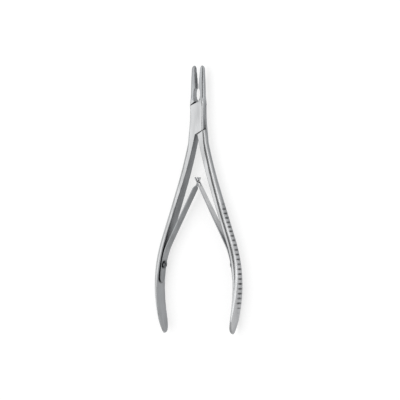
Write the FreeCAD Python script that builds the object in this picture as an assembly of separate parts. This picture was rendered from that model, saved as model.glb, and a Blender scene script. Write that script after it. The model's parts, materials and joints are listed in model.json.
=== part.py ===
import FreeCAD, Part
import math
import os

# Bone rongeur of stainless steel: two crossed halves turn on one screw, and two
# interlocked leaf springs hold them open.
# Millimetres. X runs across the handles, +Y towards the jaw tips, Z through the thickness.
# Each half is drawn with its jaws closed, about the pivot axis and the middle plane.
# The front half has the left handle, the upper lap plate and the right jaw. The back half
# is the same forging turned over about Y, with grip notches. Both are then turned open.

# Lap joint
opening_angle = 7.0            # between the halves at rest, from jaws closed
lap_thickness = 5.0
lap_half_width = 2.85          # to the edge of the flat face
lap_side_crown = 1.2           # the side stands out this much more, with its corners
lap_side_bulge = 0.1           # of the side between its corners, which take the rest
lap_flare = 0.4                # each plate is this much wider at its free end
lap_flare_length = 7.0         # from the pivot to the free end
lap_clearance = 0.04           # between the two sliding plates
shoulder_lean = 30.0           # of the shoulder lines across the instrument
shoulder_distance = 7.4        # from the pivot to each shoulder
shoulder_clearance = 0.15
face_grinding = 0.1            # forged surface taken off each face at the lap
grinding_wheel_radius = 20.0   # leaves the run-out below the lap

# Pivot screw, threaded in the front half and free in the back half
pivot_radius = 1.2
pivot_head_radius = 1.95
pivot_head_height = 1.1
pivot_thread_clearance = 0.02
pivot_running_clearance = 0.04
pivot_slot_width = 0.5
pivot_slot_depth = 0.45

# Handle: the line of its flat inner face, from the root down
root_drop = 14.0               # root station below the pivot
root_gap = 1.0                 # inner face from the centre plane at the root, jaws closed
root_lean = 9.8
flare_radius = 217.0
straight_lean = 16.0
straight_length = 28.9
bow_radius = 79.0
handle_length = 102.0          # along the inner face, from the root to the toe

# Handle: its section
root_thickness = 4.1
grip_thickness = 3.6
toe_thickness = 1.9
root_crown = 2.0
grip_crown = 2.3
toe_crown = 1.5
grip_width = 7.3
spade_width = 9.0
grip_start = 48.0              # where the grip is at its full width, from the root
spade_start = 62.0             # where the grip begins to widen to the spade
spade_ease = 24.0
toe_round = 9.0                # length of the round end
toe_edge = 0.5                 # share of the thickness left at the very end

# Grip notches across the crown of the back half's handle
notch_count = 25
notch_first = 31.5             # from the root
notch_pitch = 2.46
notch_width = 1.5
notch_depth = 0.85
notch_fade = 3                 # notches at each end that grow to the full depth

# Jaw
jaw_length = 27.6              # pivot to tip, jaws closed
jaw_rim_clearance = 0.03       # each rim from the centre plane, jaws closed
jaw_tip_thickness = 2.0
jaw_taper_power = 1.5
jaw_crown = 1.15
jaw_neck_start = 6.0
jaw_neck_length = 7.0
jaw_height = 3.5
jaw_tip_height = 2.3
jaw_tip_taper = 11.0
tip_round = 1.9
tip_shift = 0.5                # the round tip's point from the rim plane
relief_centre = 12.0
relief_half_length = 3.5
relief_depth = 1.15
cup_back = 15.2
cup_middle = 21.5
cup_front = 26.9
cup_radius = 1.15

# Leaf springs
leaf_thickness = 0.6
leaf_width = 5.0
leaf_lean = 28.2               # of the straight arm from the centre plane, at rest
leaf_bend_radius = 38.0
leaf_arm = 38.8                # straight part
leaf_tail = 9.5                # below the screw
leaf_seat_gap = 0.15           # room for the leaf to turn on its seat
tongue_width = 1.3
tongue_length = 4.9
tongue_taper = 1.6
fork_width = 3.4
fork_taper = 24.0
fork_slot_width = 1.7
fork_slot_depth = 5.4

# Spring screws
screw_drop = 65.8              # along the inner face, from the root
screw_radius = 1.0
screw_depth = 2.4              # into the handle
screw_thread_clearance = 0.02
screw_hole_clearance = 0.15
screw_head_radius = 1.8
screw_head_height = 0.6
screw_dome_height = 0.4
screw_slot_width = 0.45
screw_slot_depth = 0.5
screw_slot_turn = 40.0

# Spacing of the sections of the forged surfaces, whose faces run straight between them and
# stay within 0.03 of the curve
handle_section_step = 3.5
jaw_section_step = 2.0
strip_overlap = 10.0           # how far the lap's two sides are drawn past the pivot
end_steps = 6                  # equal turns round a rounded end
end_flat = 0.005               # share of a rounded end's length where it stops

# Room that cutting bodies have past what they cut
margin = 3.0

half_open = opening_angle / 2
lap_half = lap_thickness / 2
forged_half = lap_half + face_grinding
root_width = 2 * forged_half
Z = FreeCAD.Vector(0, 0, 1)
Y = FreeCAD.Vector(0, 1, 0)
ORIGIN = FreeCAD.Vector(0, 0, 0)


def ease(t):
    """Smooth step from 0 to 1."""
    t = min(max(t, 0.0), 1.0)
    return t * t * (3 - 2 * t)


def mix(a, b, t):
    return a + (b - a) * t


def round_end(distance, radius):
    """Share of the full size at a distance from the point of a round end: a quarter circle."""
    short = 1 - min(distance / radius, 1.0)
    return math.sqrt(1 - short * short)


def spaced(start, end, step):
    """Evenly spaced values from the start, without the end."""
    count = round((end - start) / step)
    return [start + (end - start) * number / count for number in range(count)]


def end_distances(length):
    """Distances from a rounded end's point at which its sections stand."""
    turns = [math.pi / 2 * number / end_steps for number in range(end_steps)]
    return [length * (1 - math.sin(turn)) for turn in turns] + [length * end_flat]


def walk(lean, stretches, run):
    """How far out and how far along a line of straights and arcs has gone after a run.

    Each stretch is a length and a radius, which is None on a straight, and negative where
    the lean falls. A run before the start goes straight on backwards.
    """
    out = min(run, 0.0) * math.sin(lean)
    along = min(run, 0.0) * math.cos(lean)
    left = max(run, 0.0)
    for length, radius in stretches:
        step = min(left, length)
        left -= step
        if radius is None:
            out += step * math.sin(lean)
            along += step * math.cos(lean)
            continue
        turned = lean + step / radius
        out += radius * (math.cos(lean) - math.cos(turned))
        along += radius * (math.sin(turned) - math.sin(lean))
        lean = turned
    return out, along, lean


def handle_stretches():
    flare = flare_radius * math.radians(straight_lean - root_lean)
    return [(flare, flare_radius), (straight_length, None), (handle_length, -bow_radius)]


def handle_line(run):
    """Point of the left handle's inner face at a run from the root, its outward direction
    and its lean in radians."""
    out, down, lean = walk(math.radians(root_lean), handle_stretches(), run)
    point = FreeCAD.Vector(-(root_gap + out), -(root_drop + down), 0)
    outward = FreeCAD.Vector(-math.cos(lean), math.sin(lean), 0)
    return point, outward, lean


def crown_points(half_height, crown, boxed):
    """Seven (out, up) points down the outer curve of a section, past its flats.

    At boxed 0 they lie on one arc. At boxed 1 the curve is a nearly flat side with a
    rounded corner above and below it.
    """
    radius = (half_height ** 2 + crown ** 2) / (2 * crown)
    half_turn = 2 * math.atan(crown / half_height)
    corner = crown - lap_side_bulge
    shoulder = corner * math.sqrt(0.5)
    box = [
        (0, half_height),
        (shoulder, half_height - corner + shoulder),
        (corner, half_height - corner),
        (crown, 0),
    ]
    box += [(out, -up) for out, up in box[-2::-1]]
    points = []
    for number, (box_out, box_up) in enumerate(box):
        turn = half_turn * (1 - number / 3)
        arc_out = crown - radius * (1 - math.cos(turn))
        points.append((mix(arc_out, box_out, boxed), mix(radius * math.sin(turn), box_up, boxed)))
    return points


def d_section(inner, outward, half_height, flat, crown, boxed=0.0):
    """Closed wire of the D section: flat inner face, two flats, and three arcs outside."""
    low = inner - Z * half_height
    high = inner + Z * half_height
    curve = [
        inner + outward * (flat + out) + Z * up
        for out, up in crown_points(half_height, crown, boxed)
    ]
    return Part.Wire([
        Part.LineSegment(low, high).toShape(),
        Part.LineSegment(high, curve[0]).toShape(),
        Part.Arc(curve[0], curve[1], curve[2]).toShape(),
        Part.Arc(curve[2], curve[3], curve[4]).toShape(),
        Part.Arc(curve[4], curve[5], curve[6]).toShape(),
        Part.LineSegment(curve[6], low).toShape(),
    ])


def handle_sizes(run):
    """Width, whole thickness and crown of the left handle at a run below the root."""
    grip = ease(run / grip_start)
    thin = ease((run - spade_start) / (handle_length - spade_start))
    thickness = mix(mix(root_thickness, grip_thickness, grip), toe_thickness, thin)
    crown = mix(mix(root_crown, grip_crown, grip), toe_crown, thin)
    width = mix(root_width, grip_width, grip)
    width = mix(width, spade_width, ease((run - spade_start) / spade_ease))
    return width, thickness, crown


def handle_section(run):
    """D section of the left handle at a run below the root."""
    point, outward, _ = handle_line(run)
    width, thickness, crown = handle_sizes(run)
    to_end = handle_length - run
    narrow = round_end(to_end, toe_round)
    worn = mix(toe_edge, 1.0, round_end(to_end, toe_thickness))
    inset = thickness * (1 - worn) / 2
    return d_section(
        point + outward * inset,
        outward,
        width * narrow / 2,
        (thickness - crown) * worn,
        crown * worn,
    )


def lap_section(height):
    """D section of the left side of the lap joint, at a height from the pivot."""
    run = -(height + root_drop) / math.cos(math.radians(root_lean))
    point = handle_line(run)[0]
    rise = ease((height + root_drop) / root_drop)
    edge = mix(root_gap + root_thickness - root_crown, lap_half_width, rise)
    edge += lap_flare * ease(height / lap_flare_length)
    crown = mix(root_crown, lap_side_crown, rise)
    tilt = math.radians(root_lean) * (1 - rise)
    outward = FreeCAD.Vector(-math.cos(tilt), math.sin(tilt), 0)
    flat = (edge + point.x) / math.cos(tilt)
    return d_section(point, outward, forged_half, flat, crown, rise)


def left_strip():
    """Left handle, with the left side of the lap joint above it."""
    drops = spaced(-strip_overlap, root_drop, handle_section_step)
    runs = spaced(0, handle_length - toe_round, handle_section_step)
    runs += [handle_length - distance for distance in end_distances(toe_round)]
    sections = [lap_section(-drop) for drop in drops] + [handle_section(run) for run in runs]
    return Part.makeLoft(sections, True, True)


def jaw_section(height):
    """D section of the right jaw and the right side of the lap joint."""
    to_end = jaw_length - height
    full = lap_half_width + lap_side_crown + lap_flare * ease(-height / lap_flare_length)
    taper = (max(height, 0.0) / jaw_length) ** jaw_taper_power
    thickness = mix(full, jaw_tip_thickness, taper)
    crown = mix(lap_side_crown, jaw_crown, ease(height / cup_back))
    slim = ease((height - jaw_neck_start) / jaw_neck_length)
    tall = mix(forged_half, jaw_height / 2, slim)
    tip_share = ease(1 - to_end / jaw_tip_taper)
    tall = mix(tall, jaw_tip_height / 2, tip_share)
    small = round_end(to_end, tip_round)
    inner = jaw_rim_clearance + tip_shift * (1 - small)
    return d_section(
        FreeCAD.Vector(inner, height, 0),
        FreeCAD.Vector(1, 0, 0),
        tall * small,
        (thickness - crown) * small,
        crown * small,
        1 - slim,
    )


def right_strip():
    """Right jaw, with the right side of the lap joint below it."""
    heights = spaced(-strip_overlap, jaw_length - tip_round, jaw_section_step)
    heights += [jaw_length - distance for distance in end_distances(tip_round)]
    return Part.makeLoft([jaw_section(height) for height in heights], True, True)


def slab(lean, low, high, bottom, top):
    """Wide flat block between two lines at distances low and high from the pivot, whose
    normal leans to the right of +Y, and between two levels."""
    reach = 3 * shoulder_distance
    block = Part.makeBox(2 * reach, high - low, top - bottom)
    block.translate(FreeCAD.Vector(-reach, low, bottom))
    block.rotate(ORIGIN, Z, -lean)
    return block


def ground_face():
    """What grinding takes off above the lap joint, with the wheel's run-out at the root."""
    reach = 2 * shoulder_distance
    block = Part.makeBox(2 * reach, root_drop + reach, margin)
    block.translate(FreeCAD.Vector(-reach, -root_drop, lap_half))
    wheel = Part.makeCylinder(
        grinding_wheel_radius,
        2 * reach,
        FreeCAD.Vector(-reach, -root_drop, lap_half + grinding_wheel_radius),
        FreeCAD.Vector(1, 0, 0),
    )
    return [block, wheel]


def bite_relief():
    """Elliptical gap behind the cutting rims."""
    ellipse = Part.Ellipse(
        FreeCAD.Vector(0, relief_centre + relief_half_length, 0),
        FreeCAD.Vector(relief_depth, relief_centre, 0),
        FreeCAD.Vector(0, relief_centre, 0),
    )
    face = Part.Face(Part.Wire([ellipse.toShape()]))
    face.translate(-Z * lap_thickness)
    return face.extrude(Z * 2 * lap_thickness)


def quarter_ellipse(end):
    """Edge from the cup's widest point to the end point on its axis."""
    centre = FreeCAD.Vector(0, cup_middle, 0)
    side = FreeCAD.Vector(cup_radius, cup_middle, 0)
    point = FreeCAD.Vector(0, end, 0)
    between = math.sqrt(0.5)
    on_arc = FreeCAD.Vector(cup_radius * between, mix(cup_middle, end, between), 0)
    edge = Part.Ellipse(point, side, centre).toShape()
    first = edge.Curve.parameter(side)
    middle = edge.Curve.parameter(on_arc)
    last = edge.Curve.parameter(point)
    turn = 2 * math.pi
    if (middle - first) % turn > (last - first) % turn:
        first, last = last, first
    return Part.ArcOfEllipse(edge.Curve, first, first + (last - first) % turn).toShape()


def spoon_cup():
    """Hollow of the jaw: two half ellipses turned about the line where the rims meet."""
    axis = Part.LineSegment(
        FreeCAD.Vector(0, cup_back, 0), FreeCAD.Vector(0, cup_front, 0)
    ).toShape()
    wire = Part.Wire(Part.__sortEdges__([quarter_ellipse(cup_back), quarter_ellipse(cup_front), axis]))
    return Part.Face(wire).revolve(ORIGIN, Y, 360)


def screw_place():
    """Point of the inner face under a spring screw, the inward direction and the lean."""
    point, outward, lean = handle_line(screw_drop)
    return point, -outward, lean


def half_blank():
    """The forging that both halves are made from, as the front half with closed jaws."""
    edge = shoulder_distance
    far = edge + 3 * root_drop
    low = -forged_half - margin
    left = left_strip().cut(slab(-shoulder_lean, edge, far, low, -low))
    right = right_strip().cut(slab(-shoulder_lean, -far, -edge, low, -low))
    # A small block closes the seam between the strips above the crotch
    level = forged_half + face_grinding
    core = Part.makeBox(root_gap, edge, 2 * level)
    core.translate(FreeCAD.Vector(-root_gap / 2, -root_drop + edge / 2, -level))
    core = core.common(slab(-shoulder_lean, -edge, edge, low, -low))
    blank = left.fuse([right, core])
    seat = edge + shoulder_clearance
    blank = blank.cut(slab(shoulder_lean, -seat, seat, low, lap_clearance / 2))
    upper = ground_face()
    lower = [tool.mirror(ORIGIN, Z) for tool in upper]
    blank = blank.cut(upper + lower)
    blank = blank.cut([bite_relief(), spoon_cup()])
    point, inward, _ = screw_place()
    hole_radius = screw_radius + screw_thread_clearance
    bottom = point - inward * screw_depth
    return blank.cut(Part.makeCylinder(hole_radius, screw_depth + margin, bottom, inward))


def turned_over(shape):
    """The same shape for the back half: turned half round about Y."""
    copy = shape.copy()
    copy.rotate(ORIGIN, Y, 180)
    return copy


def notch_cutter(number):
    """Three-sided bar across the crown of the left handle."""
    share = min(1.0, (number + 1) / notch_fade, (notch_count - number) / notch_fade)
    run = notch_first + number * notch_pitch
    point, outward, _ = handle_line(run)
    thickness = handle_sizes(run)[1]
    along = outward.cross(Z)
    depth = notch_depth * share
    deep = point + outward * (thickness - depth)
    reach = depth + margin
    half = notch_width / 2 * reach / notch_depth
    left = deep + outward * reach + along * half
    right = deep + outward * reach - along * half
    low = -Z * spade_width
    face = Part.Face(Part.makePolygon([deep + low, left + low, right + low, deep + low]))
    return face.extrude(Z * 2 * spade_width)


def front_half():
    hole = Part.makeCylinder(
        pivot_radius + pivot_thread_clearance, lap_thickness, -Z * lap_half, Z
    )
    return half_blank().cut(hole)


def back_half():
    notched = half_blank().cut([notch_cutter(number) for number in range(notch_count)])
    bore = Part.makeCylinder(
        pivot_radius + pivot_running_clearance, 2 * lap_thickness, -Z * lap_thickness, Z
    )
    depth = pivot_head_height + pivot_running_clearance
    seat = Part.makeCylinder(
        pivot_head_radius + pivot_running_clearance, depth + margin, -Z * (lap_half + margin), Z
    )
    return turned_over(notched).cut([bore, seat])


def pivot_screw():
    shank = Part.makeCylinder(pivot_radius, lap_thickness, -Z * lap_half, Z)
    head = Part.makeCylinder(pivot_head_radius, pivot_head_height, -Z * lap_half, Z)
    slot = Part.makeBox(4 * pivot_head_radius, pivot_slot_width, pivot_slot_depth + margin)
    slot.translate(
        FreeCAD.Vector(-2 * pivot_head_radius, -pivot_slot_width / 2, -lap_half - margin)
    )
    return shank.fuse(head).cut(slot)


def leaf_line():
    """Breakpoints of a leaf's middle line, from the tail up: point, inward normal, and the
    middle of the stretch below the point where that stretch is an arc."""
    seat = leaf_seat_gap + leaf_thickness / 2
    point, inward, lean = screw_place()
    start = point + inward * seat
    lift = math.radians(leaf_lean - half_open) - lean
    bend = [(leaf_bend_radius * lift, leaf_bend_radius), (leaf_arm, None)]

    def above(run):
        out, up, turned = walk(lean, bend, run)
        normal = FreeCAD.Vector(math.cos(turned), -math.sin(turned), 0)
        return start + FreeCAD.Vector(out, up, 0), normal

    def below(run):
        on_face, outward, turned = handle_line(screw_drop + run)
        return on_face - outward * seat, -outward

    bend_end = bend[0][0]
    return [
        (below(leaf_tail), None),
        (below(0), below(leaf_tail / 2)),
        (above(bend_end), above(bend_end / 2)),
        (above(bend_end + leaf_arm), None),
    ]


def leaf_blank():
    """Leaf of the left handle at its full width: the middle line with its thickness."""
    half = leaf_thickness / 2
    stations = leaf_line()
    edges = []
    for side in (-half, half):
        for (start, _), (end, middle) in zip(stations, stations[1:]):
            first = start[0] + start[1] * side
            last = end[0] + end[1] * side
            if middle is None:
                edges.append(Part.LineSegment(first, last).toShape())
            else:
                edges.append(Part.Arc(first, middle[0] + middle[1] * side, last).toShape())
    for (point, normal), _ in (stations[0], stations[-1]):
        edges.append(Part.LineSegment(point - normal * half, point + normal * half).toShape())
    wire = Part.Wire(Part.__sortEdges__(edges))
    face = Part.Face(wire)
    face.translate(-Z * leaf_width / 2)
    return face.extrude(Z * leaf_width)


def leaf_frame(end, normal, along, outline):
    """Cutting body through a leaf: an outline of (distance from the end, height) pairs."""
    low = -normal * margin
    corners = [end + along * a + Z * b + low for a, b in outline]
    face = Part.Face(Part.makePolygon(corners + corners[:1]))
    return face.extrude(normal * 2 * margin)


def leaf_end(end, normal, along, radius):
    """What rounds the end of a leaf off to a half circle."""
    block = leaf_frame(
        end, normal, along, [(-margin, -margin), (radius, -margin), (radius, margin), (-margin, margin)]
    )
    disc = Part.makeCylinder(radius, 2 * margin, end + along * radius - normal * margin, normal)
    return block.cut(disc)


def leaf(narrowing):
    """Leaf with its screw hole and round tail; narrowing cuts the upper end to shape."""
    stations = leaf_line()
    blank = leaf_blank()
    (tail, tail_normal), _ = stations[0]
    (tip, tip_normal), _ = stations[-1]
    tail_along = Z.cross(tail_normal)
    tip_along = tip_normal.cross(Z)
    place, inward, _ = screw_place()
    hole_radius = screw_radius + screw_hole_clearance
    hole = Part.makeCylinder(hole_radius, 2 * margin, place - inward * margin, inward)
    tools = [hole, leaf_end(tail, tail_normal, tail_along, leaf_width / 2)]
    tools += narrowing(tip, tip_normal, tip_along)
    return blank.cut(tools)


def tongue_cut(tip, normal, along):
    """Both sides of the narrow tongue, with its sloping shoulders and round end."""
    half = tongue_width / 2
    wide = leaf_width / 2
    outline = [
        (-margin, half),
        (tongue_length, half),
        (tongue_length + tongue_taper, wide),
        (tongue_length + tongue_taper, wide + margin),
        (-margin, wide + margin),
    ]
    lower = [(a, -b) for a, b in outline]
    return [
        leaf_frame(tip, normal, along, outline),
        leaf_frame(tip, normal, along, lower),
        leaf_end(tip, normal, along, half),
    ]


def fork_cut(tip, normal, along):
    """The taper of the forked leaf and its open slot."""
    half = fork_width / 2
    wide = leaf_width / 2
    outline = [
        (-margin, half),
        (0, half),
        (fork_taper, wide),
        (fork_taper, wide + margin),
        (-margin, wide + margin),
    ]
    lower = [(a, -b) for a, b in outline]
    side = fork_slot_width / 2
    deep = fork_slot_depth - side
    slot = leaf_frame(tip, normal, along, [(-margin, -side), (deep, -side), (deep, side), (-margin, side)])
    slot_end = Part.makeCylinder(side, 2 * margin, tip + along * deep - normal * margin, normal)
    return [
        leaf_frame(tip, normal, along, outline),
        leaf_frame(tip, normal, along, lower),
        slot,
        slot_end,
    ]


def spring_screw():
    """Slotted screw of the left leaf, with a low domed head."""
    point, inward, _ = screw_place()
    under_head = 2 * leaf_seat_gap + leaf_thickness
    shank = Part.makeCylinder(
        screw_radius, screw_depth + under_head, point - inward * screw_depth, inward
    )
    seat = point + inward * under_head
    head = Part.makeCylinder(screw_head_radius, screw_head_height, seat, inward)
    dome_radius = (screw_head_radius ** 2 + screw_dome_height ** 2) / (2 * screw_dome_height)
    top = seat + inward * (screw_head_height + screw_dome_height)
    ball = Part.makeSphere(dome_radius, top - inward * dome_radius)
    cap = Part.makeCylinder(screw_head_radius, screw_head_height + screw_dome_height, seat, inward)
    head = head.fuse(cap.common(ball))
    slot = Part.makeBox(screw_slot_width, 4 * screw_head_radius, screw_slot_depth + margin)
    slot.translate(FreeCAD.Vector(-screw_slot_width / 2, -2 * screw_head_radius, -screw_slot_depth))
    slot.rotate(ORIGIN, Z, screw_slot_turn)
    slot.Placement = FreeCAD.Placement(top, FreeCAD.Rotation(Z, inward)).multiply(slot.Placement)
    return shank.fuse(head).cut(slot)


def opened(shape, turn):
    """The shape turned about the pivot from jaws closed."""
    copy = shape.copy()
    copy.rotate(ORIGIN, Z, turn)
    return copy


front = {
    "front_half": front_half(),
    "pivot_screw": pivot_screw(),
    "left_leaf_spring": leaf(tongue_cut),
    "left_spring_screw": spring_screw(),
}
back = {
    "back_half": back_half(),
    "right_leaf_spring": turned_over(leaf(fork_cut)),
    "right_spring_screw": turned_over(spring_screw()),
}
parts = {name: opened(shape, -half_open) for name, shape in front.items()}
parts.update({name: opened(shape, half_open) for name, shape in back.items()})

# The origin goes to the middle of the underside of the box that holds the instrument
both = Part.makeCompound([parts["front_half"], parts["back_half"]])
box = both.optimalBoundingBox(False, False)
to_origin = FreeCAD.Vector(0, -box.Center.y, -box.ZMin)
screw_at = opened(Part.Vertex(screw_place()[0]), -half_open).Point
print("pivot axis:", to_origin)
print("seat of the left spring screw:", screw_at + to_origin)

os.makedirs("parts", exist_ok=True)
for name, shape in parts.items():
    shape.translate(to_origin)
    print(name, shape.isValid(), len(shape.Solids), round(shape.Volume, 2))
    shape.exportStep(f"parts/{name}.step")
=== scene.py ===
import json
import math

import bmesh
import bpy
import numpy as np
from mathutils import Matrix, Vector


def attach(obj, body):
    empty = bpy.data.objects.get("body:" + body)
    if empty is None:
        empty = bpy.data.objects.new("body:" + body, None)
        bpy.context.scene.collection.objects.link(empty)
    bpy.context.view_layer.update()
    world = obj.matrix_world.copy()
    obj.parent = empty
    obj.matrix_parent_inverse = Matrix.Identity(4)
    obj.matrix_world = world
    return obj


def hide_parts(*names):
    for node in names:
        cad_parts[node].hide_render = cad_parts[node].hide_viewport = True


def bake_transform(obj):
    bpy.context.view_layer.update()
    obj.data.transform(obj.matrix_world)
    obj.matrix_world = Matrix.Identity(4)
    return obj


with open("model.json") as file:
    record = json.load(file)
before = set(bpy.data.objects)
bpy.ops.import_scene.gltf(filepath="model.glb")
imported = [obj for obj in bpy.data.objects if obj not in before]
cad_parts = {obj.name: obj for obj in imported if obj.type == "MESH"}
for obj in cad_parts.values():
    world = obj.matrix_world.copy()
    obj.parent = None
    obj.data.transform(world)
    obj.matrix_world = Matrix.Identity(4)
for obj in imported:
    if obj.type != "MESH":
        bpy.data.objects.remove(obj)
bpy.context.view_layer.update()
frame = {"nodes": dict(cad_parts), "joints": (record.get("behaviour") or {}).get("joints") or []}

# Bone rongeur of satin-polished stainless steel, on white paper.
# Metres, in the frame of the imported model: X across the handles, +Y towards the jaw tips,
# Z up from the floor. The two forged halves are smoothed copies of their solids. The leaf
# springs are ribbons that bend between the handle that holds them and their crossing.

mm = 0.001
joints = {joint["name"]: joint for joint in frame["joints"]}
pivot = np.array(joints["jaw closing"]["pos_m"])
left_seat = np.array(joints["left leaf flex"]["pos_m"])
mid_level = float(pivot[2])

# Photograph: its frame, its scale, where the instrument lies in it and how it was taken
photo_pixels = 400
metres_per_pixel = 0.523 * mm
centre_line_pixel = 198.4
camera_tilt = math.radians(30)
camera_distance = 1.8
camera_aim = -0.2 * mm                 # along Y, from the middle of the length
sensor_width = 36.0

# Leaf springs
leaf_thickness = 0.6 * mm
leaf_width = 5.0 * mm
leaf_seat_gap = 0.15 * mm
seat_lean = math.radians(9.77)         # of the inner face under the screw, at rest
arm_lean = math.radians(28.2)
bend_radius = 38.0 * mm
bend_length = bend_radius * (arm_lean - seat_lean)
arm_length = 38.8 * mm
leaf_top = bend_length + arm_length    # the leaf's end, measured along it from the screw
tail_length = 9.5 * mm
tail_radius = 79.0 * mm                # of the handle's inner face below the screw
leaf_hole_radius = 1.15 * mm
tongue_width = 1.3 * mm
tongue_length = 4.9 * mm
tongue_taper = 1.6 * mm
fork_width = 3.4 * mm
fork_taper = 24.0 * mm
fork_slot_width = 1.7 * mm
fork_slot_depth = 5.4 * mm
leaf_edge_radius = 0.1 * mm
leaf_edge_angle = math.radians(50)     # edges that turn further than this are softened
leaf_edge_steps = 2
leaf_step = 1.0 * mm                   # between the rows of a ribbon
leaf_columns = 12
tip_rows = 4
fork_rows = 5
weld_distance = 0.01 * mm
clamp_end = 2.5 * mm                   # from the screw to where a leaf is free to bend
bend_end = 40.0 * mm                   # where it has turned as far as its end does

# Forged halves: the grid that softens their edges, and the pivot's flush front end
forging_voxel = 0.187 * mm
smoothing_share = 0.5                  # of the way to its neighbours that a point moves
relax_rounds = 5
rounding_rounds = 40
rounding_levels = 20
root_drop = 14.0 * mm                  # from the pivot down to where the mop's rounding starts
crown_limit = 0.25                     # a normal that points outwards more than this is kept
crown_fade = 0.15                      # below that limit, until the rounding is full
neck_height = 9.7 * mm                 # above the pivot
neck_reach = 1.4 * mm
neck_core = 1.0 * mm                   # from the middle plane, left as it is
lap_half = 2.5 * mm
pivot_end_radius = 1.6 * mm
pivot_end_depth = 0.8 * mm
pivot_end_points = 48

# Steel: where one look gives way to the next, as the value where that starts and the value where it
# is complete. The tones that these set are painted light and shade.
inner_facing = (-0.25, -0.65)          # part of the normal that points away from the middle
top_facing = (0.2, 0.55)               # part of it that points up or down
down_handle = (0.0, -35 * mm)          # along Y
down_to_grip = (5 * mm, -5 * mm)       # along Y
onto_jaws = (7 * mm, 11 * mm)          # above the pivot

# Steel: lines, patches, and painted shade in grooves and narrow gaps
# Painted shade: one darker tone over the jaws, in place of their darker reflections
jaw_shaded_tone = "#9EA0A2"
noise_middle = (0.3, 0.7)              # values that most of a noise lies between
line_roughness = 0.08
line_relief = 0.06
line_depth = 0.01 * mm
patch_width = 3 * mm
patch_length = 16 * mm
patch_shade = (0.8, 1.05)
groove_shade_reach = 0.9 * mm                  # how far a groove's walls are looked for
groove_shade_dense = (0.62, 0.78)              # openness where it is densest, on the head and the grip
groove_shade_gone = (0.95, 0.985)              # openness where it ends, on the head and the grip
groove_shade_darkest = 0.18                      # where the painted shade is darkest
inner_groove_shade_limit = 0.6                 # on inner sides the painted groove shade is never darker than this

# Stage
paper_tone = "#B9B9B9"
paper_roughness = 0.5
paper_lift = 0.64                      # brings the paper to white where it is seen
studio_fill = 0.25


# Meshes

def surface(name, points, faces):
    """Smooth-shaded mesh from an array of points and a list of faces."""
    mesh = bpy.data.meshes.new(name)
    mesh.from_pydata(points.tolist(), [], faces)
    mesh.update()
    mesh.shade_smooth()
    return mesh


def shown(name, mesh):
    """Object at the origin that shows a mesh."""
    piece = bpy.data.objects.new(name, mesh)
    bpy.context.scene.collection.objects.link(piece)
    return piece


def quads(rows, columns, first=0):
    """Four-sided faces of a grid of points, row after row, that starts at a point number."""
    corner = np.arange(rows - 1)[:, None] * columns + np.arange(columns - 1)[None, :] + first
    return np.stack([corner, corner + 1, corner + columns + 1, corner + columns], -1).reshape(-1, 4)


def vertex_values(mesh, name):
    """Places or normals of all vertices of a mesh as one array."""
    values = np.empty(len(mesh.vertices) * 3)
    mesh.vertices.foreach_get(name, values)
    return values.reshape(-1, 3)


def weld(piece):
    """Joins points that meet, and turns the faces of a sheet the same way."""
    work = bmesh.new()
    work.from_mesh(piece.data)
    bmesh.ops.remove_doubles(work, verts=work.verts, dist=weld_distance)
    bmesh.ops.recalc_face_normals(work, faces=work.faces)
    work.to_mesh(piece.data)
    work.free()


def made_real(piece):
    """Turns the piece's modifiers into its mesh."""
    bpy.context.view_layer.update()
    depsgraph = bpy.context.evaluated_depsgraph_get()
    mesh = bpy.data.meshes.new_from_object(piece.evaluated_get(depsgraph))
    piece.modifiers.clear()
    piece.data = mesh


# Leaf springs: flat grids of points, each a run along the leaf from its screw and a height
# from its middle, which are then laid on the middle line

def leaf_line(run):
    """Middle line of the left leaf at distances from the screw, negative on the tail.

    The tail follows the handle's arc and the lower arm is an arc that leans inwards: a point
    goes across by the radius times the change of the lean's cosine, and along by the radius
    times the change of its sine. The upper arm goes straight on at its own lean.
    """
    start = left_seat[:2] + np.array([math.cos(seat_lean), -math.sin(seat_lean)]) * (
        leaf_seat_gap + leaf_thickness / 2
    )
    inner_radius = tail_radius - leaf_seat_gap - leaf_thickness / 2
    on_tail = np.minimum(run, 0)
    on_bend = np.clip(run, 0, bend_length)
    on_arm = np.maximum(run - bend_length, 0)
    tail_lean = seat_lean + on_tail / inner_radius
    bend_lean = seat_lean + on_bend / bend_radius
    across = -inner_radius * (np.cos(tail_lean) - math.cos(seat_lean))
    along = inner_radius * (np.sin(tail_lean) - math.sin(seat_lean))
    across += bend_radius * (math.cos(seat_lean) - np.cos(bend_lean))
    along += bend_radius * (np.sin(bend_lean) - math.sin(seat_lean))
    across += on_arm * math.sin(arm_lean)
    along += on_arm * math.cos(arm_lean)
    return np.stack([start[0] + across, start[1] + along, np.full_like(run, mid_level)], -1)


def even_half_width(run):
    """At and below the screw the leaf has its full width."""
    return np.full_like(run, leaf_width / 2)


def fork_half_width(run):
    """The forked leaf narrows evenly towards its end."""
    share = np.clip((leaf_top - run) / fork_taper, 0, 1)
    return fork_width / 2 + (leaf_width - fork_width) / 2 * share


def tongue_half_width(run):
    """The tongue leaf narrows to its tongue between two sloping shoulders."""
    share = np.clip((leaf_top - run - tongue_length) / tongue_taper, 0, 1)
    return tongue_width / 2 + (leaf_width - tongue_width) / 2 * share


def across_leaf(run, half_width):
    """Row of points straight across the leaf at a run, or one row for each of several."""
    run, half_width = np.broadcast_arrays(run, half_width)
    heights = half_width[..., None] * np.linspace(-1, 1, leaf_columns + 1)
    return np.stack([np.broadcast_to(run[..., None], heights.shape), heights], -1)


def half_circle(centre, radius, way):
    """Row of points on a half circle about a run. The radius times the turn's cosine adds to
    the run, up the leaf (way 1) or down it (way -1), and times its sine is the height."""
    turn = np.linspace(-math.pi / 2, math.pi / 2, leaf_columns + 1)
    return np.stack([centre + way * radius * np.cos(turn), radius * np.sin(turn)], -1)


def between(first, last, rows):
    """Grid whose rows go in even shares, straight from one curve to another."""
    share = np.linspace(0, 1, rows)[:, None, None]
    return first[None] * (1 - share) + last[None] * share


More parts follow.
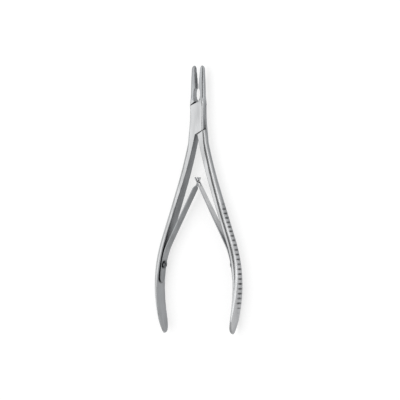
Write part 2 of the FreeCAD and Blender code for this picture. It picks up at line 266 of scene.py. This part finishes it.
def stretch(low, high, half_width):
    """Grid over a stretch of the leaf whose half width is a function of the run."""
    rows = max(2, int(round((high - low) / leaf_step)) + 1)
    runs = np.linspace(low, high, rows)
    return across_leaf(runs, half_width(runs))


def tail_grids():
    """Grids over the tail: its end, a half circle as wide as the leaf, then full width."""
    half = leaf_width / 2
    centre = half - tail_length
    end = between(half_circle(centre, half, -1), across_leaf(centre, half), leaf_columns // 2 + 1)
    return [end, stretch(centre, -half, even_half_width)]


def screw_grids():
    """Two grids round the screw hole: from its edge out to a square as wide as the leaf.
    Half the square's outline goes up, across and down, which is 4 half sides in all."""
    half = leaf_width / 2
    gone = np.linspace(0, 4, leaf_columns * 2 + 1)
    square = half * np.stack([np.clip(gone - 2, -1, 1), np.clip(2 - np.abs(gone - 2), 0, 1)], -1)
    ring = square / np.linalg.norm(square, axis=-1, keepdims=True)
    upper = between(ring * leaf_hole_radius, square, leaf_columns // 2 + 1)
    return [upper, upper * np.array([1, -1])]


def tongue_grids():
    """Grids above the screw hole: full width, the shoulders, the tongue and its round tip."""
    half = tongue_width / 2
    foot = leaf_top - tongue_length
    tip = leaf_top - half
    ends = [leaf_width / 2, foot - tongue_taper, foot, tip]
    grids = [stretch(low, high, tongue_half_width) for low, high in zip(ends, ends[1:])]
    return grids + [between(across_leaf(tip, half), half_circle(tip, half, 1), tip_rows)]


def fork_grids():
    """Grids above the screw hole: full width, the long taper, and the fork from its slot's
    edge out to the leaf's own edge and a row below the slot."""
    base = leaf_top - fork_slot_depth - leaf_step
    ends = [leaf_width / 2, leaf_top - fork_taper, base]
    grids = [stretch(low, high, fork_half_width) for low, high in zip(ends, ends[1:])]
    mirror = np.array([1, -1])
    slot = fork_slot_width / 2
    centre = leaf_top - fork_slot_depth + slot
    prong = np.linspace(leaf_top, centre, leaf_columns + 1)[:-1]
    prong = np.stack([prong, np.full_like(prong, -slot)], -1)
    edge = np.linspace(leaf_top, base, leaf_columns + 1)[:-1]
    edge = np.stack([edge, -fork_half_width(edge)], -1)
    inner = np.concatenate([prong, half_circle(centre, slot, -1), prong[::-1] * mirror])
    outer = np.concatenate([edge, across_leaf(base, fork_half_width(base)), edge[::-1] * mirror])
    return grids + [between(inner, outer, fork_rows)]


def leaf_piece(name, solid, forked):
    """Ribbon of one leaf: its flat outline laid on the middle line, then given its
    thickness and softened edges. The forked leaf is the other turned half round about Y."""
    grids = tail_grids() + screw_grids() + (fork_grids() if forked else tongue_grids())
    points = []
    faces = []
    count = 0
    for grid in grids:
        rows, columns = grid.shape[:2]
        flat = grid.reshape(-1, 2)
        laid = leaf_line(flat[:, 0])
        laid[:, 2] += flat[:, 1]
        points.append(laid)
        faces += quads(rows, columns, count).tolist()
        count += len(laid)
    points = np.concatenate(points)
    if forked:
        points[:, 0] *= -1
        points[:, 2] = 2 * mid_level - points[:, 2]
    piece = shown(name, surface(name, points, faces))
    weld(piece)
    thicken = piece.modifiers.new("thickness", "SOLIDIFY")
    thicken.thickness = leaf_thickness
    thicken.offset = 0
    soften = piece.modifiers.new("edges", "BEVEL")
    soften.width = leaf_edge_radius
    soften.segments = leaf_edge_steps
    soften.limit_method = "ANGLE"
    soften.angle_limit = leaf_edge_angle
    soften.harden_normals = True
    made_real(piece)
    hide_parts(solid)
    return piece


def along_leaf(run, mirrored):
    """Point of a leaf's middle line as a tuple."""
    point = leaf_line(np.array([run]))[0]
    if mirrored:
        point[0] *= -1
    return tuple(float(v) for v in point)


# Forged halves and the pivot screw

def pivot_end():
    """Closed round plug of four rings of points: about the middle of its top, on the rims of
    its top and its base, and about the middle of its base."""
    middle = 0.01
    turn = np.linspace(0, 2 * math.pi, pivot_end_points + 1)[:-1]
    radii = pivot_end_radius * np.array([middle, 1, 1, middle])
    levels = mid_level + lap_half - pivot_end_depth * np.array([0, 0, 1, 1])
    points = np.stack([
        pivot[0] + radii[:, None] * np.cos(turn),
        pivot[1] + radii[:, None] * np.sin(turn),
        np.repeat(levels[:, None], len(turn), 1),
    ], -1)
    corner = np.arange(points[..., 0].size).reshape(points.shape[:2])
    after = np.roll(corner, -1, 1)
    sides = np.stack([corner[1:], after[1:], after[:-1], corner[:-1]], -1).reshape(-1, 4)
    caps = [corner[0].tolist(), corner[-1, ::-1].tolist()]
    return surface("pivot_end", points.reshape(-1, 3), sides.tolist() + caps)


def with_pivot_end(piece):
    """Adds the pivot's front end, which is ground flush with the lap."""
    plug = pivot_end()
    work = bmesh.new()
    work.from_mesh(piece.data)
    work.from_mesh(plug)
    work.to_mesh(piece.data)
    work.free()
    bpy.data.meshes.remove(plug)


def forging(name, solid, finish=None):
    """Smoothed copy of a forged half: its solid on a fine even grid of points, so that
    every edge is softened as forging and polishing leave it."""
    piece = shown(name, frame["nodes"][solid].data.copy())
    weld(piece)
    if finish:
        finish(piece)
    remesh = piece.modifiers.new("even", "REMESH")
    remesh.mode = "VOXEL"
    remesh.voxel_size = forging_voxel
    remesh.use_smooth_shade = True
    relax = piece.modifiers.new("relax", "SMOOTH")
    relax.factor = smoothing_share
    relax.iterations = relax_rounds
    made_real(piece)
    round_by_mop(piece)
    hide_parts(solid)
    return piece


def round_by_mop(piece):
    """More smoothing where a polishing mop rounds the steel: on the handle wherever it
    doesn't face outwards, growing from the root down to the grip, and over the neck between
    the lap's flat face and the jaw. The neck's share is full within its reach, is gone at
    twice that, and grows from nothing at the core left round the middle plane."""
    place = vertex_values(piece.data, "co")
    normal = vertex_values(piece.data, "normal")
    outward = normal[:, 0] * np.sign(place[:, 0])
    root = pivot[1] - root_drop
    down = np.clip((root - place[:, 1]) / (root - left_seat[1]), 0, 1)
    edges = np.clip((crown_limit - outward) / crown_fade, 0, 1) * down
    to_neck = np.abs(place[:, 1] - pivot[1] - neck_height)
    off_core = np.abs(place[:, 2] - mid_level) - neck_core
    neck = np.clip(2 - to_neck / neck_reach, 0, 1) * np.clip(2 * off_core / neck_core, 0, 1)
    weight = np.maximum(edges, neck)
    group = piece.vertex_groups.new(name="rounded")
    steps = np.round(weight * rounding_levels) / rounding_levels
    for step in np.unique(steps[steps > 0]):
        group.add(np.flatnonzero(steps == step).tolist(), float(step), "REPLACE")
    rounding = piece.modifiers.new("rounding", "SMOOTH")
    rounding.vertex_group = group.name
    rounding.factor = smoothing_share
    rounding.iterations = rounding_rounds
    made_real(piece)
    piece.vertex_groups.clear()


def pivot_piece(name, solid):
    """Copy of the pivot screw whose front end stops under the lap's ground face."""
    piece = shown(name, frame["nodes"][solid].data.copy())
    points = vertex_values(piece.data, "co")
    points[:, 2] = np.minimum(points[:, 2], mid_level + lap_half - pivot_end_depth)
    piece.data.vertices.foreach_set("co", points.ravel())
    piece.data.update()
    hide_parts(solid)
    return piece


# Materials

def colour(code):
    """Linear colour with full alpha from an sRGB hex code, by the sRGB curve."""
    parts = [int(code[i:i + 2], 16) / 255 for i in (1, 3, 5)]
    return [v / 12.92 if v <= 0.04045 else ((v + 0.055) / 1.055) ** 2.4 for v in parts] + [1.0]


def node(tree, kind, settings=None, **links):
    """Adds a shader node, sets its properties and sockets, and links its sockets.

    A socket goes by its name, with _ for a space. Where several share one name it goes by
    its number: i0, i1 and so on.
    """
    made = tree.nodes.new("ShaderNode" + kind)
    for key, value in (settings or {}).items():
        setattr(made, key, value)
    for key, value in links.items():
        numbered = key[0] == "i" and key[1:].isdigit()
        socket = made.inputs[int(key[1:]) if numbered else key.replace("_", " ")]
        if isinstance(value, bpy.types.NodeSocket):
            tree.links.new(value, socket)
        else:
            socket.default_value = value
    return made


def steel(name, top, outer, inner, roughness, line_width, line_length):
    """Polished stainless steel from the tones of its top faces, and of its outer and inner sides
    near the joint and at the grip. These tones are painted light and shade, which stand in for the
    reflections on each face. Inner sides are rougher. Fine lines run along it, soft patches vary
    its shade, the jaws get one darker tone as painted shade, and grooves and narrow gaps get
    painted shade, which on the grip fills shallower ones too."""
    material = bpy.data.materials.new(name)
    material.use_nodes = True
    tree = material.node_tree
    tree.nodes.clear()
    where = node(tree, "TexCoord")
    place = where.outputs["Object"]
    x, y, _ = node(tree, "SeparateXYZ", Vector=place).outputs
    across, _, up = node(tree, "SeparateXYZ", Vector=where.outputs["Normal"]).outputs

    # Which way the surface faces, and where it lies along the instrument
    side = node(tree, "Math", {"operation": "SIGN"}, i0=x).outputs[0]
    outward = node(tree, "Math", {"operation": "MULTIPLY"}, i0=across, i1=side).outputs[0]
    upright = node(tree, "Math", {"operation": "ABSOLUTE"}, i0=up).outputs[0]
    inside = node(
        tree, "MapRange", Value=outward, From_Min=inner_facing[0], From_Max=inner_facing[1]
    ).outputs[0]
    flat = node(
        tree, "MapRange", Value=upright, From_Min=top_facing[0], From_Max=top_facing[1]
    ).outputs[0]
    low = node(
        tree, "MapRange", Value=y, From_Min=down_handle[0], From_Max=down_handle[1]
    ).outputs[0]
    grip = node(
        tree, "MapRange", Value=y, From_Min=down_to_grip[0], From_Max=down_to_grip[1]
    ).outputs[0]
    jaw_from = float(pivot[1]) + onto_jaws[0]
    jaw_full = float(pivot[1]) + onto_jaws[1]
    jaws = node(tree, "MapRange", Value=y, From_Min=jaw_from, From_Max=jaw_full).outputs[0]

    # Belt lines along the steel, and patches
    belt = node(
        tree, "Mapping", Vector=place, Scale=(1 / line_width, 1 / line_length, 1 / line_width)
    ).outputs[0]
    lines = node(tree, "TexNoise", Vector=belt, Scale=1.0, Detail=3.0, Roughness=0.6).outputs[0]
    drawn = node(
        tree, "Mapping", Vector=place, Scale=(1 / patch_width, 1 / patch_length, 1 / patch_width)
    ).outputs[0]
    patches = node(tree, "TexNoise", Vector=drawn, Scale=1.0, Detail=1.0).outputs[0]
    shade = node(
        tree, "MapRange", Value=patches, From_Min=noise_middle[0], From_Max=noise_middle[1],
        To_Min=patch_shade[0], To_Max=patch_shade[1],
    ).outputs[0]

    # Painted shade in grooves and narrow gaps, found from how open the surface is
    openness = node(tree, "AmbientOcclusion", Distance=groove_shade_reach).outputs["AO"]
    dense_at = node(
        tree, "MapRange", Value=grip, To_Min=groove_shade_dense[0], To_Max=groove_shade_dense[1]
    ).outputs[0]
    gone_at = node(
        tree, "MapRange", Value=grip, To_Min=groove_shade_gone[0], To_Max=groove_shade_gone[1]
    ).outputs[0]
    groove_shade = node(
        tree, "MapRange", Value=openness, From_Min=dense_at, From_Max=gone_at,
        To_Min=groove_shade_darkest, To_Max=1.0,
    ).outputs[0]
    # Inner sides get less of this painted shade
    inner_shade_limit = node(
        tree, "Math", {"operation": "MULTIPLY"}, i0=inside, i1=inner_groove_shade_limit
    ).outputs[0]
    groove_shade = node(tree, "Math", {"operation": "MAXIMUM"}, i0=groove_shade, i1=inner_shade_limit).outputs[0]
    grey = node(tree, "Math", {"operation": "MULTIPLY"}, i0=shade, i1=groove_shade).outputs[0]

    # Tone: painted light and shade, lighter or darker by which way the surface faces and where it
    # lies along the instrument
    outer_tone, inner_tone = [
        node(tree, "MixRGB", Fac=low, Color1=colour(near), Color2=colour(far)).outputs[0]
        for near, far in (outer, inner)
    ]
    tone = node(tree, "MixRGB", Fac=flat, Color1=outer_tone, Color2=colour(top)).outputs[0]
    tone = node(tree, "MixRGB", Fac=inside, Color1=tone, Color2=inner_tone).outputs[0]
    # Painted shade: the jaws take one darker tone
    tone = node(tree, "MixRGB", Fac=jaws, Color1=tone, Color2=colour(jaw_shaded_tone)).outputs[0]
    base = node(tree, "VectorMath", {"operation": "SCALE"}, i0=tone, Scale=grey).outputs[0]

    # Sheen
    smooth, rough = roughness
    drag = node(
        tree, "MapRange", Value=lines, From_Min=noise_middle[0], From_Max=noise_middle[1],
        To_Min=smooth, To_Max=smooth + line_roughness,
    ).outputs[0]
    duller = node(tree, "MapRange", Value=inside, To_Min=0.0, To_Max=rough - smooth).outputs[0]
    finish = node(tree, "Math", {"operation": "ADD"}, i0=drag, i1=duller).outputs[0]
    height = node(
        tree, "Bump", Height=lines, Strength=line_relief, Distance=line_depth
    ).outputs[0]
    shader = node(
        tree, "BsdfPrincipled", Base_Color=base, Metallic=1.0, Roughness=finish, Normal=height
    ).outputs[0]
    node(tree, "OutputMaterial", Surface=shader)
    return material


# Stainless steel, drop forged and belt polished. It gives a light grey gleam with fine lines along
# the handles, and rougher inner sides, which the belt hardly reaches. Its lighter tops, darker
# inner sides and darker sides near the joint are painted light and shade. Lines of such a belt are
# finer than 0.12 mm, and are drawn as coarse as that to show in a close view.
forged_steel = steel(
    "forged_stainless",
    top="#B6B7B8",
    outer=("#8E9092", "#B0B1B3"),
    inner=("#828486", "#9EA0A2"),
    roughness=(0.18, 0.36),
    line_width=0.12 * mm,
    line_length=4 * mm,
)

# Hardened spring strip, ground along its length. It gives a grey satin. Its outward faces are
# painted brighter near the joint and darker further down, and its edges and inner sides get their
# own tones, as painted reflection and shade. Its grinding lines are drawn coarser than real ones
# too.
spring_steel = steel(
    "spring_strip",
    top="#909294",
    outer=("#CECFD0", "#8C8E90"),
    inner=("#86888A", "#96989A"),
    roughness=(0.2, 0.34),
    line_width=0.12 * mm,
    line_length=6 * mm,
)

# Stainless steel screws, turned. They give small grey heads with short tool marks, which are drawn
# coarser than real ones. Their darker inner sides and slot are painted shade.
screw_steel = steel(
    "turned_screw",
    top="#8E9092",
    outer=("#8C8E90", "#9A9C9E"),
    inner=("#606264", "#606264"),
    roughness=(0.22, 0.32),
    line_width=0.08 * mm,
    line_length=0.4 * mm,
)


def finish_with(piece, material):
    """Gives a piece one material."""
    piece.data.materials.clear()
    piece.data.materials.append(material)


# Pieces

front_forging = forging("front_half_forging", "front_half", with_pivot_end)
back_forging = forging("back_half_forging", "back_half")
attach(front_forging, "front half")
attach(back_forging, "back half")
left_leaf = leaf_piece("left_leaf_ribbon", "left_leaf_spring", False)
right_leaf = leaf_piece("right_leaf_ribbon", "right_leaf_spring", True)
for piece in (front_forging, back_forging):
    finish_with(piece, forged_steel)
for piece in (left_leaf, right_leaf):
    finish_with(piece, spring_steel)
pivot_turned = pivot_piece("pivot_screw_turned", "pivot_screw")
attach(pivot_turned, "front half")
finish_with(pivot_turned, screw_steel)
for name in ("left_spring_screw", "right_spring_screw"):
    frame["nodes"][name].data.materials.clear()
    frame["nodes"][name].data.materials.append(screw_steel)
along_leaf(clamp_end, False)
along_leaf(bend_end, False)
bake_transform(left_leaf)
along_leaf(clamp_end, True)
along_leaf(bend_end, True)
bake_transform(right_leaf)


# Stage

def white_paper():
    """Matt paper that glows just enough to be white where it is seen, straight or mirrored."""
    material = bpy.data.materials.new("white_paper")
    material.use_nodes = True
    tree = material.node_tree
    tree.nodes.clear()
    paper = node(
        tree, "BsdfDiffuse", Color=colour(paper_tone), Roughness=paper_roughness
    ).outputs[0]
    path = node(tree, "LightPath")
    seen = path.outputs["Is Camera Ray"]
    for ray in ("Is Glossy Ray", "Is Transmission Ray"):
        seen = node(
            tree, "Math", {"operation": "ADD", "use_clamp": True}, i0=seen, i1=path.outputs[ray]
        ).outputs[0]
    lift = node(tree, "Math", {"operation": "MULTIPLY"}, i0=seen, i1=paper_lift).outputs[0]
    glow = node(tree, "Emission", Color=(1, 1, 1, 1), Strength=lift).outputs[0]
    both = node(tree, "AddShader", i0=paper, i1=glow).outputs[0]
    node(tree, "OutputMaterial", Surface=both)
    return material


def floor_and_wall():
    """Surface of revolution: a flat round floor that curves up into a low wall."""
    flat_radius, curve, wall = 2.0, 0.6, 0.3
    curve_points, round_points = 17, 97
    turn = np.linspace(0, math.pi / 2, curve_points)[1:]
    rim = flat_radius + curve
    radius = np.concatenate([[0, flat_radius], flat_radius + curve * np.sin(turn), [rim]])
    height = np.concatenate([[0, 0], curve * (1 - np.cos(turn)), [curve + wall]])
    around = np.linspace(0, 2 * math.pi, round_points)
    points = np.stack([
        radius[:, None] * np.cos(around),
        radius[:, None] * np.sin(around),
        np.repeat(height[:, None], len(around), 1),
    ], -1)
    faces = quads(len(radius), len(around)).tolist()
    return shown("floor", surface("floor", points.reshape(-1, 3), faces))


def softbox(name, azimuth, height, distance, width, length, radiance):
    """Area light at an azimuth from +X and a height above the floor, in degrees, aimed at
    the middle of the instrument. Its power gives it a set radiance."""
    light = bpy.data.lights.new(name, "AREA")
    light.shape = "RECTANGLE"
    light.size = width
    light.size_y = length
    light.energy = math.pi * width * length * radiance
    lamp = bpy.data.objects.new(name, light)
    round_by = math.radians(azimuth)
    up_by = math.radians(height)
    out = Vector((
        math.cos(up_by) * math.cos(round_by),
        math.cos(up_by) * math.sin(round_by),
        math.sin(up_by),
    ))
    face = out.to_track_quat("Z", "Y").to_matrix().to_4x4()
    lamp.matrix_world = Matrix.Translation(out * distance) @ face
    lamp.visible_camera = False
    bpy.context.scene.collection.objects.link(lamp)


floor = floor_and_wall()
floor.data.materials.append(white_paper())

softbox("key", azimuth=180, height=62, distance=0.8, width=1.6, length=1.1, radiance=1.27)
softbox("side", azimuth=8, height=22, distance=0.8, width=1.2, length=0.45, radiance=1.3)
softbox("far", azimuth=90, height=30, distance=0.9, width=1.2, length=0.4, radiance=1.1)
softbox("front", azimuth=-18, height=50, distance=0.9, width=0.35, length=0.5, radiance=1.1)

world = bpy.data.worlds.new("studio")
world.use_nodes = True
world.node_tree.nodes["Background"].inputs["Color"].default_value = colour("#FFFFFF")
world.node_tree.nodes["Background"].inputs["Strength"].default_value = studio_fill
bpy.context.scene.world = world

# Camera: tilted towards +X and level with +Y, as the photograph was taken
camera_data = bpy.data.cameras.new("camera")
camera_data.sensor_width = sensor_width
camera_data.lens = sensor_width * camera_distance / (photo_pixels * metres_per_pixel)
camera = bpy.data.objects.new("camera", camera_data)
view = Matrix.Rotation(camera_tilt, 3, "Y")
aside = (photo_pixels / 2 - centre_line_pixel) * metres_per_pixel
aim = Vector((0, camera_aim, mid_level)) + view @ Vector((aside, 0, 0))
eye = aim + view @ Vector((0, 0, camera_distance))
camera.matrix_world = Matrix.Translation(eye) @ view.to_4x4()
bpy.context.scene.collection.objects.link(camera)
bpy.context.scene.camera = camera
bpy.context.scene.view_settings.view_transform = "Standard"
